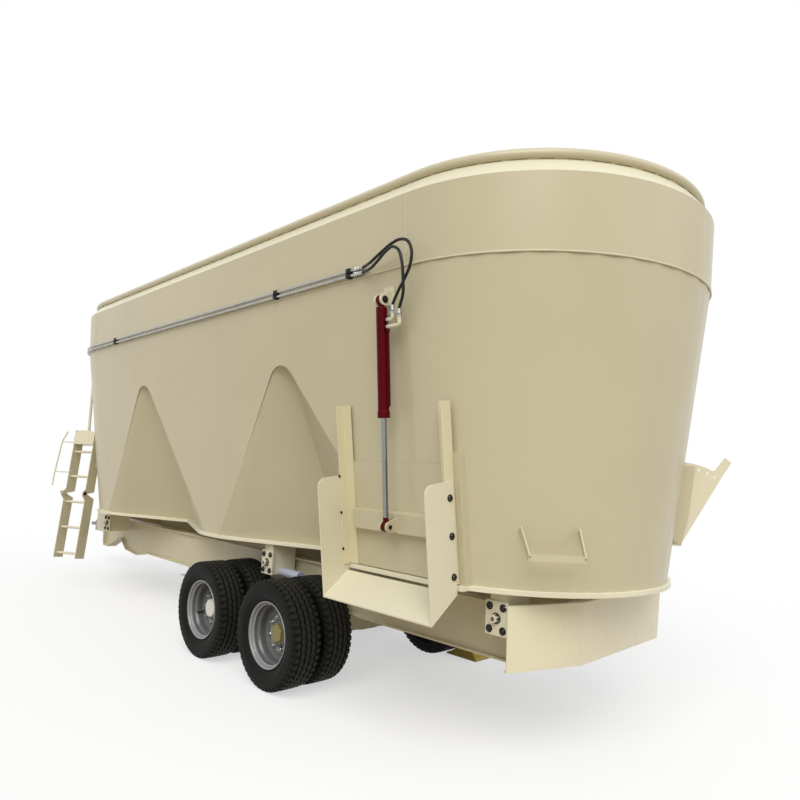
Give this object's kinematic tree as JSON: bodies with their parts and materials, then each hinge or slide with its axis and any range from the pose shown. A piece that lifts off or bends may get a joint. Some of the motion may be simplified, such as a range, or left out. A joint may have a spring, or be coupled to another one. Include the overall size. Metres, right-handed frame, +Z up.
{
  "type": "trailed feed mixer",
  "caption": "Long trailed livestock feed mixer with upright augers in a folded tub, twin-wheel axles, a sliding discharge door and chute, and a fold-up ladder.",
  "frame": {"origin": "bottom centre of the machine's box, on the ground", "axes": "+X to the rear of the trailer, +Z up, -Y to the side with the discharge door and chute"},
  "size_m": [9.1132, 2.5018, 3.3527],
  "materials": {
    "cream": "satin enamel",
    "pale_cream": "satin enamel",
    "dark_red": "gloss enamel",
    "bare_steel": "bare steel",
    "wheel_grey": "satin enamel",
    "tyre_rubber": "matt rubber",
    "hose_rubber": "satin rubber",
    "guard_yellow": "moulded plastic",
    "worn_steel": "worn steel"
  },
  "bodies": {
    "machine": {"tub_wall": "cream", "upper_band": "cream", "spill_ring": "cream", "rim_pipe": "cream", "floor_plate": "cream", "rear_step": "cream", "gearbox_rear": "cream", "crossmember_rear": "cream", "load_cell_near_rear": "pale_cream", "load_cell_far_rear": "pale_cream", "gearbox_middle": "cream", "crossmember_middle": "cream", "load_cell_near_middle": "pale_cream", "load_cell_far_middle": "pale_cream", "gearbox_front": "cream", "crossmember_front": "cream", "load_cell_near_front": "pale_cream", "load_cell_far_front": "pale_cream", "wheel_chock": "guard_yellow", "beam_near": "cream", "beam_far": "cream", "drawbar": "cream", "jack_sleeve": "cream", "rear_guard": "cream", "axle_front": "cream", "axle_rear": "cream", "door_guide_front": "cream", "door_guide_rear": "cream", "cylinder_bracket": "cream", "ladder_upper": "cream", "knife_guide": "cream", "hitch_eye": "bare_steel", "door_pipes": "bare_steel", "chute": "pale_cream", "hose_upper": "hose_rubber", "hose_lower": "hose_rubber"},
    "rear_auger": {"auger_rear": "worn_steel"},
    "middle_auger": {"auger_middle": "worn_steel"},
    "front_auger": {"auger_front": "worn_steel"},
    "rear_drive_shaft": {"shaft_rear": "guard_yellow"},
    "middle_drive_shaft": {"shaft_middle": "guard_yellow"},
    "input_drive_shaft": {"shaft_input": "guard_yellow"},
    "door": {"door_panel": "cream"},
    "door_cylinder_barrel": {"cylinder_barrel": "dark_red"},
    "door_cylinder_rod": {"cylinder_rod": "bare_steel"},
    "lower_ladder": {"ladder_lower": "cream"},
    "swinging_knife": {"counter_knife": "cream"},
    "parking_leg": {"jack_leg": "bare_steel"},
    "near_front_wheels": {"wheel_near_front": "wheel_grey", "tyre_near_front_outer": "tyre_rubber", "tyre_near_front_inner": "tyre_rubber"},
    "near_rear_wheels": {"wheel_near_rear": "wheel_grey", "tyre_near_rear_outer": "tyre_rubber", "tyre_near_rear_inner": "tyre_rubber"},
    "far_front_wheels": {"wheel_far_front": "wheel_grey", "tyre_far_front_outer": "tyre_rubber", "tyre_far_front_inner": "tyre_rubber"},
    "far_rear_wheels": {"wheel_far_rear": "wheel_grey", "tyre_far_rear_outer": "tyre_rubber", "tyre_far_rear_inner": "tyre_rubber"}
  },
  "joints": [
    {"name": "rear_auger_turn", "type": "hinge", "parent": "machine", "child": "rear_auger", "pos_m": [3.35665, 0.05087, 0.983], "axis": [0, 0, 1], "continuous": true},
    {"name": "middle_auger_turn", "type": "hinge", "parent": "machine", "child": "middle_auger", "pos_m": [0.87665, 0.05087, 0.983], "axis": [0, 0, 1], "continuous": true},
    {"name": "front_auger_turn", "type": "hinge", "parent": "machine", "child": "front_auger", "pos_m": [-1.60335, 0.05087, 0.983], "axis": [0, 0, 1], "continuous": true},
    {"name": "rear_shaft_turn", "type": "hinge", "parent": "machine", "child": "rear_drive_shaft", "pos_m": [2.11665, 0.05087, 0.603], "axis": [1, 0, 0], "continuous": true},
    {"name": "middle_shaft_turn", "type": "hinge", "parent": "machine", "child": "middle_drive_shaft", "pos_m": [-0.36335, 0.05087, 0.603], "axis": [1, 0, 0], "continuous": true},
    {"name": "input_shaft_turn", "type": "hinge", "parent": "machine", "child": "input_drive_shaft", "pos_m": [-2.64335, 0.05087, 0.603], "axis": [1, 0, 0], "continuous": true},
    {"name": "near_front_wheels_roll", "type": "hinge", "parent": "machine", "child": "near_front_wheels", "pos_m": [0.99965, -0.77763, 0.383], "axis": [0, 1, 0], "continuous": true},
    {"name": "far_front_wheels_roll", "type": "hinge", "parent": "machine", "child": "far_front_wheels", "pos_m": [0.99965, 0.87937, 0.383], "axis": [0, 1, 0], "continuous": true},
    {"name": "near_rear_wheels_roll", "type": "hinge", "parent": "machine", "child": "near_rear_wheels", "pos_m": [1.97865, -0.77763, 0.383], "axis": [0, 1, 0], "continuous": true},
    {"name": "far_rear_wheels_roll", "type": "hinge", "parent": "machine", "child": "far_rear_wheels", "pos_m": [1.97865, 0.87937, 0.383], "axis": [0, 1, 0], "continuous": true},
    {"name": "door_lift", "type": "slide", "parent": "machine", "child": "door", "axis": [0, -0.1329, 0.9911], "range_m": [0, 0.54]},
    {"name": "door_cylinder_swing", "type": "hinge", "parent": "machine", "child": "door_cylinder_barrel", "pos_m": [3.21965, -1.17551, 2.57708], "axis": [-1, 0, 0], "range_deg": [0, 1.7]},
    {"name": "door_cylinder_stroke", "type": "slide", "parent": "door_cylinder_barrel", "child": "door_cylinder_rod", "axis": [0, -0.0892, 0.996], "range_m": [0, 0.545]},
    {"name": "ladder_fold", "type": "hinge", "parent": "machine", "child": "lower_ladder", "pos_m": [-2.39679, -0.98238, 1.13478], "axis": [-0.8572, -0.515, 0], "range_deg": [0, 165]},
    {"name": "knife_swing", "type": "hinge", "parent": "machine", "child": "swinging_knife", "pos_m": [4.20325, 0.56967, 1.221], "axis": [0.5225, -0.8526, 0], "range_deg": [0, 18.8]},
    {"name": "parking_leg_lift", "type": "slide", "parent": "machine", "child": "parking_leg", "axis": [0, 0, 1], "range_m": [0, 0.19]}
  ],
  "couplings": [
    {"joint": "middle_auger_turn", "follows": "rear_auger_turn", "ratio": 1},
    {"joint": "front_auger_turn", "follows": "rear_auger_turn", "ratio": 1},
    {"joint": "rear_shaft_turn", "follows": "rear_auger_turn", "ratio": 16},
    {"joint": "middle_shaft_turn", "follows": "rear_auger_turn", "ratio": 16},
    {"joint": "input_shaft_turn", "follows": "rear_auger_turn", "ratio": 16},
    {"joint": "door_cylinder_swing", "follows": "door_lift", "rad_per_m": 0.0506},
    {"joint": "door_cylinder_stroke", "follows": "door_lift", "ratio": 0.9984}
  ]
}
